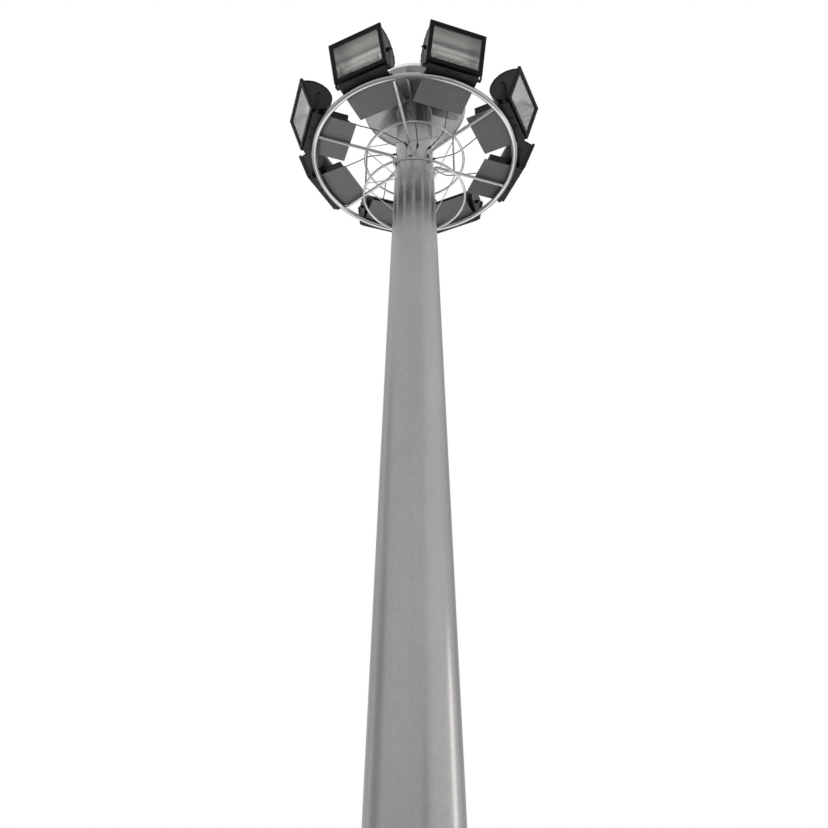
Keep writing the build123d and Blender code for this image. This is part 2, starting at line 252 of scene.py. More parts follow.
class ShaderGraph(NodeGraph):
    """One material's node tree round a Principled shader, on Object coordinates."""

    mix_colours: ClassVar[tuple[int, int]] = (6, 7)

    def __init__(self, name: str) -> None:
        """Starts an empty material.

        Args:
            name: the material's name.
        """
        self.material = bpy.data.materials.new(name)
        super().__init__(emptied(self.material))
        self.shader = self.add("ShaderNodeBsdfPrincipled")
        output = self.add("ShaderNodeOutputMaterial")
        self.feed(output.inputs["Surface"], self.shader.outputs["BSDF"])
        self.place = self.add("ShaderNodeTexCoord").outputs["Object"]

    def stretched(self, stretch: Point) -> Socket:
        """Object coordinates multiplied by a scale on each axis."""
        return self.run("ShaderNodeMapping", "Vector", Vector=self.place, Scale=stretch)

    def noise(self, grain: Grain) -> Socket:
        """Fractal noise of one kind."""
        scale, detail, stretch = grain.value
        place = self.stretched(stretch)
        return self.run("ShaderNodeTexNoise", "Fac", Vector=place, Scale=scale, Detail=detail)

    def height(self) -> Socket:
        """Height over the ground at rest."""
        return self.run("ShaderNodeSeparateXYZ", "Z", Vector=self.place)

    def upward(self) -> Socket:
        """How far the surface faces up, -1 to 1."""
        normal = self.add("ShaderNodeTexCoord").outputs["Normal"]
        return self.run("ShaderNodeSeparateXYZ", "Z", Vector=normal)

    def set_out(self) -> Socket:
        """Distance from the tower's axis at rest.

        Returns:
            The distance's socket.
        """
        length = self.add("ShaderNodeVectorMath", operation="LENGTH")
        self.feed(length.inputs[0], self.stretched((1.0, 1.0, 0.0)))
        return length.outputs["Value"]

    def crystals(self, scale: float) -> Socket:
        """One random grey for each cell, as the spangle of zinc."""
        cells = self.run("ShaderNodeTexVoronoi", "Color", Vector=self.place, Scale=scale)
        return self.run("ShaderNodeSeparateColor", "Red", Color=cells)

    def vary(self, value: Socket, depth: float, start: float = 0.25, end: float = 0.75) -> Socket:
        """Spreads a value evenly to both sides of 1."""
        return self.spread(value, 1.0 - depth, 1.0 + depth, start, end)

    def tint(self, value: Socket, first: Colour | Socket, second: Colour) -> Socket:
        """Mixes two colours.

        Args:
            value: 0 for the first colour to 1 for the second.
            first: a colour or a socket.
            second: a colour.

        Returns:
            The mixed colour's socket.
        """
        node = self.add("ShaderNodeMix", data_type="RGBA")
        for index, colour in zip(self.mix_colours, (first, second)):
            plain = isinstance(colour, tuple)
            self.feed(node.inputs[index], (*colour, 1.0) if plain else colour)
        self.feed(node.inputs["Factor"], value)
        return node.outputs[2]

    def colour(self, colour: Socket) -> None:
        """Sets the base colour."""
        self.feed(self.shader.inputs["Base Color"], colour)

    def roughness(self, roughness: Socket) -> None:
        """Sets the roughness."""
        self.feed(self.shader.inputs["Roughness"], roughness)

    def bump(self, height: Socket, distance: float, strength: float) -> None:
        """Raises the surface by a height map.

        Args:
            height: the map, 0 to 1.
            distance: what 1 is worth, in metres.
            strength: how much of it shows.
        """
        normal = self.run(
            "ShaderNodeBump", "Normal", Height=height, Distance=distance, Strength=strength
        )
        self.feed(self.shader.inputs["Normal"], normal)

    def set(self, **values: float) -> None:
        """Sets constant inputs on the shader itself, underscores standing for spaces."""
        for name, value in values.items():
            self.shader.inputs[name.replace("_", " ")].default_value = value


# ---- Finishes ------------------------------------------------------------------------------


def scaled(colour: Colour, share: float) -> Colour:
    """A colour made darker or paler."""
    return tuple(share * channel for channel in colour)


@dataclass(frozen=True)
class Galvanised:
    """Hot-dip galvanised steel: zinc grey with faint spangle, run marks and dull patches.

    Above the painted-shade height, if there is one, painted shade darkens it in vertical streaks.
    """

    name: str
    grey: float
    roughness: float
    spangle: float = 120.0
    run_marks: float = 0.03
    warmth: float = 0.01
    dimple: float = 0.00003
    soot_height: float = 0.0
    spangle_depth: ClassVar[float] = 0.04
    patch_depth: ClassVar[float] = 0.05
    contrast: ClassVar[float] = 0.2
    soot_edge: ClassVar[float] = 0.05

    def make(self) -> bpy.types.Material:
        """Builds the material.

        Returns:
            The material.
        """
        graph = ShaderGraph(self.name)
        cells = graph.vary(graph.crystals(self.spangle), self.spangle_depth, 0.0, 1.0)
        patches = graph.vary(graph.noise(Grain.PATCHES), self.patch_depth)
        marks = graph.noise(Grain.RUN_MARKS)
        mottle = graph.math("MULTIPLY", cells, patches, graph.vary(marks, self.run_marks))
        paleness = graph.spread(mottle, 0.0, 1.0, 1.0 - self.contrast, 1.0 + self.contrast)
        tone = (self.grey, self.grey * (1 - 0.5 * self.warmth), self.grey * (1 - self.warmth))
        dark = scaled(tone, 1.0 - self.contrast)
        pale = scaled(tone, 1.0 + self.contrast)
        zinc = graph.tint(paleness, dark, pale)
        # Painted shade: above this height the mast's head darkens in streaks, as the shade under
        # the canopy.
        if self.soot_height:
            streaks = graph.spread(graph.noise(Grain.SOOT_STREAKS), 0.35, 0.85, 0.4, 0.6)
            top = self.soot_height + self.soot_edge
            climb = graph.spread(graph.height(), 0.0, 1.0, self.soot_height, top)
            zinc = graph.tint(graph.math("MULTIPLY", climb, streaks), zinc, PAINTED_SHADE)
        graph.colour(zinc)
        graph.roughness(graph.spread(marks, self.roughness - 0.05, self.roughness + 0.06))
        graph.bump(graph.noise(Grain.DIMPLES), self.dimple, 0.5)
        graph.set(Metallic=1.0)
        return graph.material


@dataclass(frozen=True)
class SpunAluminium:
    """Spun sheet with faint drawn marks and grime, and painted shade on undersides near the mast.
    """

    name: str
    grey: float
    roughness: float
    grime: float
    metallic: float
    soot: float
    soot_span: tuple[float, float]
    dark_share: ClassVar[float] = 0.1

    def make(self) -> bpy.types.Material:
        """Builds the material.

        Returns:
            The material.
        """
        graph = ShaderGraph(self.name)
        grime = graph.noise(Grain.GRIME)
        grain = graph.noise(Grain.DRAWN_MARKS)
        # Painted shade: undersides darken towards the mast, where the canopy is in deep shade.
        soot = graph.math(
            "MAXIMUM",
            graph.spread(graph.set_out(), self.soot, 1.0, *self.soot_span),
            graph.spread(graph.upward(), 0.0, 1.0, -0.1, 0.3),
        )
        dirt = graph.spread(grime, 1.0 - self.grime, 1.0)
        paleness = graph.math("MULTIPLY", dirt, graph.spread(grain, 0.94, 1.0), soot)
        pale = (self.grey, self.grey, self.grey)
        graph.colour(graph.tint(paleness, scaled(pale, self.dark_share), pale))
        graph.roughness(graph.spread(grime, self.roughness + 0.07, self.roughness - 0.04))
        graph.bump(grain, 0.0002, 0.25)
        graph.set(Metallic=self.metallic)
        return graph.material


@dataclass(frozen=True)
class ReflectorSheet:
    """Bright sheet rolled along the drum, drawn lines along it, a band of painted dark
    reflection.
    """

    name: str
    grey: float
    roughness: float
    painted_band_height: float
    painted_band_half: float
    painted_band_tone: float
    dark_share: ClassVar[float] = 0.02

    def make(self) -> bpy.types.Material:
        """Builds the material.

        Returns:
            The material.
        """
        graph = ShaderGraph(self.name)
        lines = graph.spread(graph.noise(Grain.ROLLED_LINES), 0.50, 1.0, 0.40, 0.60)
        middle = self.painted_band_height
        above = middle + self.painted_band_half
        below = middle - self.painted_band_half
        # Painted reflection: the sheet darkens in a band round this height, as a dark reflection
        # in the pane.
        painted_band = graph.math(
            "MAXIMUM",
            graph.spread(graph.height(), self.painted_band_tone, 1.0, middle, above),
            graph.spread(graph.height(), 1.0, self.painted_band_tone, below, middle),
        )
        dark = scaled((self.grey, self.grey, self.grey), self.dark_share)
        pale = (self.grey, 0.985 * self.grey, 0.97 * self.grey)
        graph.colour(graph.tint(graph.math("MULTIPLY", lines, painted_band), dark, pale))
        graph.set(Metallic=1.0, Roughness=self.roughness)
        return graph.material


@dataclass(frozen=True)
class Paint:
    """Satin or gloss coat with orange peel and dust on it, black outside a radius if given."""

    name: str
    colour: Colour
    roughness: float
    dust: float
    gloss: float
    peel: float = 0.00015
    black_outside: float = 0.0

    def make(self) -> bpy.types.Material:
        """Builds the material.

        Returns:
            The material.
        """
        graph = ShaderGraph(self.name)
        clouds = graph.noise(Grain.DUST)
        dusty = tuple(channel + self.dust for channel in self.colour)
        coat = graph.tint(graph.spread(clouds, 0.0, 1.0, 0.3, 0.8), self.colour, dusty)
        if self.black_outside:
            beyond = graph.math("GREATER_THAN", graph.set_out(), self.black_outside)
            coat = graph.tint(beyond, coat, BLACK)
        graph.colour(coat)
        graph.roughness(graph.spread(clouds, self.roughness - 0.05, self.roughness + 0.1))
        graph.bump(graph.noise(Grain.ORANGE_PEEL), self.peel, 0.4)
        graph.set(Specular_IOR_Level=self.gloss)
        return graph.material


@dataclass(frozen=True)
class ClearGlass:
    """Toughened pane with a thin film of dust."""

    name: str
    tone: Colour
    dusty_share: ClassVar[float] = 0.93
    refraction: ClassVar[float] = 1.45

    def make(self) -> bpy.types.Material:
        """Builds the material.

        Returns:
            The material.
        """
        graph = ShaderGraph(self.name)
        film = graph.noise(Grain.DUST_FILM)
        dusty = scaled(self.tone, self.dusty_share)
        graph.colour(graph.tint(graph.spread(film, 0.0, 1.0), dusty, self.tone))
        graph.roughness(graph.spread(film, 0.01, 0.04))
        graph.set(Transmission_Weight=1.0, IOR=self.refraction)
        return graph.material


@dataclass(frozen=True)
class Moulded:
    """Moulded rubber, plastic or ceramic with a fine matt grain."""

    name: str
    colour: Colour
    roughness: float

    def make(self) -> bpy.types.Material:
        """Builds the material.

        Returns:
            The material.
        """
        graph = ShaderGraph(self.name)
        grain = graph.noise(Grain.MOULDED_GRAIN)
        worn = tuple(1.7 * channel + 0.004 for channel in self.colour)
        graph.colour(graph.tint(graph.spread(grain, 0.0, 1.0), self.colour, worn))
        graph.roughness(graph.spread(grain, self.roughness - 0.06, self.roughness + 0.08))
        graph.bump(grain, 0.0001, 0.4)
        return graph.material


class Finish(Enum):
    """Every finish on the tower: name, grey or colour, roughness, and what else it has."""

    # The mast's head carries painted shade above 9.07 m.
    MAST = Galvanised(
        "mast_zinc", 0.320, 0.27, spangle=60.0, run_marks=0.04, warmth=0.045, dimple=0.0002,
        soot_height=9.07,
    )
    TUBE = Galvanised("ring_zinc", 0.33, 0.14)
    ARM = Galvanised("arm_zinc", 0.36, 0.16)
    CAGE = Galvanised("cage_zinc", 0.36, 0.16)
    FIXING = Galvanised("fixing_zinc", 0.40, 0.35, spangle=300.0, run_marks=0.02, dimple=0.0002)
    # The canopy's undersides carry painted shade near the mast.
    CANOPY = SpunAluminium(
        "canopy_metal", 0.90, 0.42, grime=0.20, metallic=0.36, soot=0.25, soot_span=(0.26, 0.48)
    )
    # The reflector carries a band of painted dark reflection round 9.115 m.
    REFLECTOR = ReflectorSheet(
        "reflector_metal", 0.72, 0.20, painted_band_height=9.115, painted_band_half=0.030, painted_band_tone=0.60
    )
    CARRIER = Paint(
        "carrier_grey", (0.098, 0.097, 0.094), 0.50, dust=0.02, gloss=0.18, peel=0.0001,
        black_outside=1.205,
    )
    GEAR = Paint("gear_box_black", (0.009, 0.009, 0.009), 0.45, dust=0.005, gloss=0.12)
    STIRRUP = Paint("stirrup_black", BLACK, 0.42, dust=0.004, gloss=0.12)
    HOUSING = Paint("housing_black", (0.0105, 0.0105, 0.0105), 0.36, dust=0.005, gloss=0.15)
    BEZEL = Paint("bezel_black", (0.005, 0.005, 0.006), 0.34, dust=0.003, gloss=0.08)
    GLASS = ClearGlass("pane_glass", (0.90, 0.895, 0.885))
    LAMP = Moulded("arc_tube_ceramic", (0.72, 0.71, 0.68), 0.5)
    HOLDER = Moulded("lamp_holder_ceramic", (0.60, 0.58, 0.54), 0.6)
    CABLE = Moulded("cable_sheath", (0.012, 0.012, 0.013), 0.55)
    GLAND = Moulded("gland_nylon", (0.018, 0.018, 0.019), 0.45)
    GASKET = Moulded("gasket_rubber", (0.010, 0.010, 0.010), 0.7)


class Slot(Enum):
    """Names of the record's material slots."""

    STEEL = "galvanised_steel"
    DARK_STEEL = "dark_painted_steel"
    CANOPY = "canopy_aluminium"
    LIGHT = "floodlight_aluminium"
    GLASS = "floodlight_glass"
    RUBBER = "cable_rubber"
    PLASTIC = "gland_plastic"


class Palette:
    """Makes each finish once, when it is first asked for."""

    made: ClassVar[dict[Finish, bpy.types.Material]] = {}

    @classmethod
    def get(cls, finish: Finish) -> bpy.types.Material:
        """The material of a finish."""
        if finish not in cls.made:
            cls.made[finish] = finish.value.make()
        return cls.made[finish]


# ---- Meshes and Geometry Nodes -------------------------------------------------------------


def add_object(name: str, data: bpy.types.ID) -> bpy.types.Object:
    """Links a new object.

    Args:
        name: its name.
        data: the mesh, curve, light or camera that it holds.

    Returns:
        The object.
    """
    thing = bpy.data.objects.new(name, data)
    bpy.context.scene.collection.objects.link(thing)
    return thing


def baked(work: bmesh.types.BMesh, name: str) -> bpy.types.Mesh:
    """Turns a bmesh into a mesh, and frees it.

    Args:
        work: the bmesh.
        name: the mesh's name.

    Returns:
        The mesh.
    """
    mesh = bpy.data.meshes.new(name)
    work.to_mesh(mesh)
    work.free()
    return mesh


def soften(piece: bpy.types.Object, angle: float = 35.0) -> None:
    """Welds a piece, turns its faces outwards and shades it smooth between creases.

    Args:
        piece: the piece.
        angle: edges sharper than this many degrees stay creased.
    """
    work = bmesh.new()
    work.from_mesh(piece.data)
    bmesh.ops.remove_doubles(work, verts=work.verts, dist=1e-6)
    bmesh.ops.recalc_face_normals(work, faces=work.faces)
    limit = math.radians(angle)
    for face in work.faces:
        face.smooth = True
    for edge in work.edges:
        edge.smooth = len(edge.link_faces) == 2 and edge.calc_face_angle() < limit
    work.to_mesh(piece.data)
    work.free()


def settle(piece: bpy.types.Object, body: str, crease: float = 35.0) -> None:
    """Finishes a piece and gives it its body.

    Args:
        piece: the piece.
        body: the CAD body that it rides on.
        crease: edges sharper than this many degrees stay creased.
    """
    soften(piece, crease)
    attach(piece, body)
    log.info("%s rides on %s, %d faces", piece.name, body, len(piece.data.polygons))


def settle_mesh(
    work: bmesh.types.BMesh, name: str, finish: Finish, body: str,
    place: Matrix = Matrix.Identity(4),
) -> None:
    """Makes a finished piece of a bmesh.

    Args:
        work: the bmesh.
        name: the piece's name.
        finish: its finish.
        body: the CAD body that it rides on.
        place: where the bmesh's own frame sits.
    """
    mesh = baked(work, name)
    mesh.materials.append(Palette.get(finish))
    mesh.transform(place)
    settle(add_object(name, mesh), body)


class GeometryTree(NodeGraph):
    """A Geometry Nodes tree with named sizes, ended by Realize Instances and Set Material."""

    def __init__(self, name: str, sizes: type, takes_geometry: bool = False) -> None:
        """Starts a tree with an input for each size.

        Args:
            name: the tree's name.
            sizes: the dataclass whose fields are its inputs.
            takes_geometry: whether it works on its host's own geometry.
        """
        super().__init__(bpy.data.node_groups.new(name, "GeometryNodeTree"))
        face = self.tree.interface
        if takes_geometry:
            face.new_socket("Geometry", in_out="INPUT", socket_type="NodeSocketGeometry")
        face.new_socket("Geometry", in_out="OUTPUT", socket_type="NodeSocketGeometry")
        self.keys: dict[str, str] = {}
        kinds = {field.name: "Int" if field.type is int else "Float" for field in fields(sizes)}
        for key, kind in (kinds | {"material": "Material"}).items():
            socket = face.new_socket(
                self.label(key), in_out="INPUT", socket_type=f"NodeSocket{kind}"
            )
            self.keys[key] = socket.identifier
        self.inputs = self.add("NodeGroupInput")

    @staticmethod
    def label(key: str) -> str:
        """The name that an input shows."""
        return key.replace("_", " ").title()

    def read(self, key: str) -> Socket:
        """An input's value inside the tree."""
        return self.inputs.outputs[self.label(key)]

    def join(self, *parts: Socket) -> Socket:
        """Joins geometry.

        Args:
            parts: the geometry sockets.

        Returns:
            The joined geometry's socket.
        """
        node = self.add("GeometryNodeJoinGeometry")
        for part in parts:
            self.feed(node.inputs["Geometry"], part)
        return node.outputs["Geometry"]

    def raised(self, geometry: Socket, height: Value) -> Socket:
        """Geometry moved up.

        Args:
            geometry: the geometry.
            height: by how much.

        Returns:
            The moved geometry's socket.
        """
        shift = self.run("ShaderNodeCombineXYZ", "Vector", Z=height)
        return self.run(
            "GeometryNodeTransform", "Geometry", Geometry=geometry, Translation=shift
        )

    def drum(self, radius: Value, depth: Value, sides: Value, base: Value = 0.0) -> Socket:
        """Upright round or many-sided solid.

        Args:
            radius: its radius.
            depth: its height.
            sides: how many flats.
            base: height of its foot.

        Returns:
            The mesh socket.
        """
        mesh = self.run(
            "GeometryNodeMeshCylinder", "Mesh", Vertices=sides, Radius=radius, Depth=depth
        )
        return self.raised(mesh, self.math("ADD", self.math("MULTIPLY", depth, 0.5), base))

    def hoop(
        self, radius: Value, tube: Value, steps: Value, flats: int, scale: Value = 1.0
    ) -> Socket:
        """Level ring of round tube.

        Args:
            radius: of its centre line.
            tube: radius of the tube.
            steps: points along the ring.
            flats: points round the tube.
            scale: how thick the tube is at each point along it.

        Returns:
            The mesh socket.
        """
        kind = "GeometryNodeCurvePrimitiveCircle"
        ring = self.run(kind, "Curve", Resolution=steps, Radius=radius)
        section = self.run(kind, "Curve", Resolution=flats, Radius=tube)
        return self.run(
            "GeometryNodeCurveToMesh", "Mesh", Curve=ring, Profile_Curve=section, Scale=scale
        )

    def copies(self, points: Socket, shape: Socket, **turn: Socket) -> Socket:
        """Copies of a shape at points.

        Args:
            points: the points.
            shape: the shape.
            turn: a rotation for each point, as Rotation, or nothing.

        Returns:
            The instances' socket.
        """
        kind = "GeometryNodeInstanceOnPoints"
        return self.run(kind, "Instances", Points=points, Instance=shape, **turn)

    def copies_on_places(self, shape: Socket) -> Socket:
        """Copies of an upright shape at the host's points, turned to their directions.

        Args:
            shape: the shape.

        Returns:
            The instances' socket.
        """
        named = self.add("GeometryNodeInputNamedAttribute", data_type="FLOAT_VECTOR")
        direction = self.run(named, "Attribute", Name="direction")
        align = self.add("FunctionNodeAlignRotationToVector", axis="Z")
        turn = self.run(align, "Rotation", Vector=direction)
        return self.copies(self.read("geometry"), shape, Rotation=turn)

    def close(self, geometry: Socket) -> None:
        """Ends the tree.

        Args:
            geometry: what it gives.
        """
        real = self.run("GeometryNodeRealizeInstances", "Geometry", Geometry=geometry)
        dressed = self.run(
            "GeometryNodeSetMaterial", "Geometry", Geometry=real, Material=self.read("material")
        )
        self.feed(self.add("NodeGroupOutput").inputs["Geometry"], dressed)

    def build(
        self, name: str, finish: Finish, sizes: object, host: bpy.types.Object | None = None
    ) -> bpy.types.Object:
        """Runs the tree and keeps the result as a plain mesh.

        Args:
            name: the piece's name.
            finish: its finish.
            sizes: the dataclass object that holds a value for each input.
            host: the object whose geometry it works on, or None.

        Returns:
            The piece, not yet riding on a body.
        """
        if host is None:
            host = add_object(f"{name}_host", bpy.data.meshes.new(f"{name}_host"))
        modifier = host.modifiers.new("Build", "NODES")
        modifier.node_group = self.tree
        for key, value in asdict(sizes).items():
            modifier[self.keys[key]] = value
        modifier[self.keys["material"]] = Palette.get(finish)
        bpy.context.view_layer.update()
        evaluated = host.evaluated_get(bpy.context.evaluated_depsgraph_get())
        mesh = bpy.data.meshes.new_from_object(evaluated)
        mesh.name = name
        bpy.data.objects.remove(host)
        return add_object(name, mesh)


# ---- Heads and weld beads set on places ----------------------------------------------------


@dataclass(frozen=True)
class Place:
    """Where a fixing sits and which way it points."""

    point: Vector
    out: Vector


def points_with_directions(name: str, places: list[Place]) -> bpy.types.Object:
    """Host object with a vertex at each place, which keeps its direction as an attribute.

    Args:
        name: the name of the piece that it is for.
        places: the places.

    Returns:
        The host.
    """
    mesh = bpy.data.meshes.new(f"{name}_host")
    mesh.from_pydata([tuple(place.point) for place in places], [], [])
    directions = mesh.attributes.new("direction", "FLOAT_VECTOR", "POINT")
    for item, place in zip(directions.data, places):
        item.vector = place.out
    return add_object(f"{name}_host", mesh)


@dataclass(frozen=True)
class HeadSize:
    """Washer and head of a screw, bolt or nut, in metres."""

    washer_radius: float
    washer_height: float
    head_radius: float
    head_height: float
    sides: int


class Head(Enum):
    """Every kind of small fixing on the tower."""

    END_SCREW = HeadSize(0.0085, 0.0010, 0.0050, 0.0040, 16)
    STIRRUP_BOLT = HeadSize(0.0120, 0.0008, 0.0105, 0.0030, 16)
    STIRRUP_NUT = HeadSize(0.0150, 0.0025, 0.0135, 0.0100, 6)
    PIVOT_BOLT = HeadSize(0.0105, 0.0020, 0.0090, 0.0060, 6)
    LID_SCREW = HeadSize(0.0060, 0.0010, 0.0045, 0.0030, 12)
    DOOR_SCREW = HeadSize(0.0140, 0.0020, 0.0100, 0.0080, 3)
    GLAND_NUT = HeadSize(0.0150, 0.0060, 0.0140, 0.0100, 6)


class Heads:
    """Sets heads of any kind on places, each set as one piece."""

    washer_sides: ClassVar[int] = 20

    def __init__(self) -> None:
        """Builds the tree that every set shares."""
        tree = GeometryTree("heads", HeadSize, takes_geometry=True)
        lift = tree.read("washer_height")
        washer = tree.drum(tree.read("washer_radius"), lift, self.washer_sides)
        size = (tree.read("head_radius"), tree.read("head_height"), tree.read("sides"))
        tree.close(tree.copies_on_places(tree.join(washer, tree.drum(*size, lift))))
        self.tree = tree

    def put(
        self, name: str, head: Head, places: list[Place], body: str = TOWER,
        finish: Finish = Finish.FIXING, slot: Slot = Slot.STEEL,
    ) -> None:
        """Adds one set.

        Args:
            name: the piece's name.
            head: the kind of head.
            places: where each one sits.
            body: the body that they ride on.
            finish: their finish.
            slot: not used.
        """
        host = points_with_directions(name, places)
        settle(self.tree.build(name, finish, head.value, host), body)


@dataclass(frozen=True)
class CollarSize:
    """Weld bead round a tube: its centre line's radius, its own radius and its ripples."""

    radius: float
    bead: float
    ripples: float
    steps: int


class Bead(Enum):
    """Every kind of weld bead: its own radius, and the points round it."""

    MAST_FOOT = (0.0060, 480)
    MAST_HEAD = (0.0040, 320)
    ARM_END = (0.0030, 48)
    POST_FOOT = (0.0022, 32)


class WeldCollars:
    """Rippled weld beads round tubes, each set as one piece."""

    flats: ClassVar[int] = 6
    ripple_depth: ClassVar[float] = 0.18
    steps_to_ripple: ClassVar[int] = 4
    crease: ClassVar[float] = 80.0

    def __init__(self) -> None:
        """Builds the tree that every set shares."""
        tree = GeometryTree("weld_collars", CollarSize, takes_geometry=True)
        along = tree.add("GeometryNodeSplineParameter").outputs["Factor"]
        turns = tree.math("MULTIPLY", along, tree.read("ripples"), math.tau)
        wave = tree.math("SINE", turns, 0.0)
        scale = tree.math("ADD", tree.math("MULTIPLY", wave, self.ripple_depth), 1.0)
        size = (tree.read("radius"), tree.read("bead"), tree.read("steps"))
        tree.close(tree.copies_on_places(tree.hoop(*size, self.flats, scale)))
        self.tree = tree

    def put(self, name: str, radius: float, kind: Bead, places: list[Place]) -> None:
        """Adds one set of collars of the same size.

        Args:
            name: the piece's name.
            radius: of the collar's centre line.
            kind: the kind of bead.
            places: centre and axis of each collar.
        """
        bead, steps = kind.value
        size = CollarSize(radius, bead, steps / self.steps_to_ripple, steps)
        host = points_with_directions(name, places)
        piece = self.tree.build(name, Finish.FIXING, size, host)
        settle(piece, TOWER, self.crease)


# ---- Frame nodes ---------------------------------------------------------------------------


class FrameDresser:
    """Gives every CAD node its finish and smooth shading."""

    weld_distance: ClassVar[float] = 1e-5
    crease: ClassVar[float] = 30.0
    # The first match counts, so the door's frame comes before the floodlights' frames.
    wearers: ClassVar[dict[Finish, tuple[str, ...]]] = {
        Finish.MAST: (
            "mast_shaft", "head_plate", "door_frame", "access_door", "base_flange",
            "base_gussets",
        ),
        Finish.CANOPY: ("canopy", "canopy_braces"),
        Finish.TUBE: ("main_ring",),
        Finish.ARM: ("arms",),
        Finish.CAGE: ("inner_ring_upper", "inner_ring_lower", "ring_posts", "tie_rods"),
        Finish.CARRIER: ("light_carriers",),
        Finish.GEAR: ("gear_boxes",),
        Finish.STIRRUP: ("stirrups",),
        Finish.GLAND: ("cable_glands",),
        Finish.HOUSING: ("_housing",),
        Finish.BEZEL: ("_frame",),
        Finish.GLASS: ("_glass",),
        Finish.REFLECTOR: ("_reflector",),
    }

    def finish_of(self, name: str) -> Finish:
        """The finish of a node, which is the cables' own where none is listed.

        Args:
            name: the node's name.

        Returns:
            Its finish.
        """
        for finish, endings in self.wearers.items():
            if name.endswith(endings):
                return finish
        return Finish.CABLE

    def dress(self) -> None:
        """Sets every node's material, and welds and creases its shading."""
        for name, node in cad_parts.items():
            material = Palette.get(self.finish_of(name))
            for slot in node.material_slots:
                slot.material = material
            for face in node.data.polygons:
                face.use_smooth = True
            weld = node.modifiers.new("Weld", "WELD")
            weld.merge_threshold = self.weld_distance
            crease = node.modifiers.new("Crease", "EDGE_SPLIT")
            crease.split_angle = math.radians(self.crease)
            crease.use_edge_sharp = False
            log.info("%s wears %s", name, material.name)


# ---- Supply cables -------------------------------------------------------------------------


@dataclass
class SupplyCables:
    """One black cable from each control gear box over the inner ring to the mast.

    A route gives points from the box inward: how far each is to the side of its
    floodlight's azimuth, and how far above the ring. An entry gives the azimuth where the
    cable enters the mast, and its height above the ring.
    """

    diameter: float = 0.012
    gear_end: float = 0.871
    turn_radius: float = 0.439
    gland_length: float = 0.030
    lengths: tuple[float, ...] = (
        0.6890, 0.6725, 0.6771, 0.6733, 0.6234, 0.6770, 0.6938, 0.7014,
    )
    routes: tuple[tuple[tuple[float, float], ...], ...] = (
        ((0.200, 0.105), (0.228, 0.080), (0.246, 0.064), (0.252, 0.064), (0.240, 0.070)),
        ((0.119, 0.105), (0.137, 0.078), (0.159, 0.062), (0.185, 0.062), (0.201, 0.070)),
        ((0.037, 0.105), (0.065, 0.078), (0.097, 0.062), (0.134, 0.062), (0.170, 0.070)),
        ((-0.007, 0.105), (0.020, 0.078), (0.053, 0.062), (0.104, 0.062), (0.159, 0.070)),
        ((0.085, 0.105), (0.072, 0.080), (0.062, 0.064), (0.056, 0.064), (0.050, 0.072)),
        ((0.142, 0.105), (0.160, 0.078), (0.176, 0.062), (0.202, 0.062), (0.222, 0.070)),
        ((0.215, 0.105), (0.241, 0.078), (0.255, 0.062), (0.265, 0.062), (0.255, 0.070)),
        ((0.229, 0.105), (0.238, 0.078), (0.257, 0.062), (0.258, 0.062), (0.243, 0.070)),
    )
    entries: tuple[tuple[float, float], ...] = (
        (8, 0.024), (50, 0.080), (95, 0.080), (128, 0.084),
        (162, 0.084), (228, 0.084), (280, 0.076), (333, 0.062),
    )

    def points(self, index: int) -> list[Vector]:
        """Control points of one cable, from its gear box in to the mast.

        Args:
            index: the cable's place in the order of the floodlights.

        Returns:
            The points in metres.
        """
        route = self.routes[index]
        azimuth = LIGHT_AZIMUTHS[index]
        step = (self.turn_radius - self.gear_end) / (len(route) - 1)
        points = [
            around(self.gear_end + step * place, azimuth, RING_HEIGHT + lift, offset)
            for place, (offset, lift) in enumerate(route)
        ]
        entry_azimuth, entry_lift = self.entries[index]
        height = RING_HEIGHT + entry_lift
        entry_radius = mast_radius(height) + self.gland_length
        return [*points, around(entry_radius, entry_azimuth, height)]

    def curve(self, name: str, points: list[Vector]) -> bpy.types.Curve:
        """Round cable on a NURBS line.

        Args:
            name: the curve's name.
            points: the line's control points.

        Returns:
            The curve.
        """
        curve = bpy.data.curves.new(name, "CURVE")
        curve.dimensions = "3D"
        curve.bevel_depth = self.diameter / 2
        curve.bevel_resolution = 4
        curve.resolution_u = 16
        curve.use_fill_caps = True
        spline = curve.splines.new("NURBS")
        spline.points.add(len(points) - 1)
        for knot, point in zip(spline.points, points):
            knot.co = (*point, 1.0)
        spline.order_u = 3
        spline.use_endpoint_u = True
        curve.materials.append(Palette.get(Finish.CABLE))
        return curve

    def build(self) -> None:
        """Lays every cable in place of its CAD solid."""
        for index, length in enumerate(self.lengths):
            name = f"supply_cable_{index + 1}"
            points = self.points(index)
            cable = add_object(f"{name}_cord", self.curve(f"{name}_cord", points))
            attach(cable, TOWER)
            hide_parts(name)
            log.info("%s is a cord of %.3f m", name, length)


# ---- Floodlights ---------------------------------------------------------------------------


@dataclass(frozen=True)
class BezelScrews:
    """Cap screws set evenly round a rectangle, with its sides and theirs in metres."""

    width: float
    height: float
    head_radius: float = 0.0055
    head_height: float = 0.0040
    count: int = 12


def bezel_screw_tree() -> GeometryTree:
    """Cap screws with washers, set evenly round a rectangle.

    Returns:
        The tree.
    """
    tree = GeometryTree("bezel_screws", BezelScrews)
    sides = 20
    washer_height = 0.001
    washer_share = 1.6
    outline = tree.run(
        "GeometryNodeCurvePrimitiveQuadrilateral", "Curve",
        Width=tree.read("width"), Height=tree.read("height"),
    )
    points = tree.run(
        "GeometryNodeResampleCurve", "Curve", Curve=outline, Count=tree.read("count")
    )
    radius = tree.read("head_radius")
    washer = tree.drum(tree.math("MULTIPLY", radius, washer_share), washer_height, sides)
    head = tree.drum(radius, tree.read("head_height"), sides, washer_height)
    tree.close(tree.copies(points, tree.join(washer, head)))
    return tree


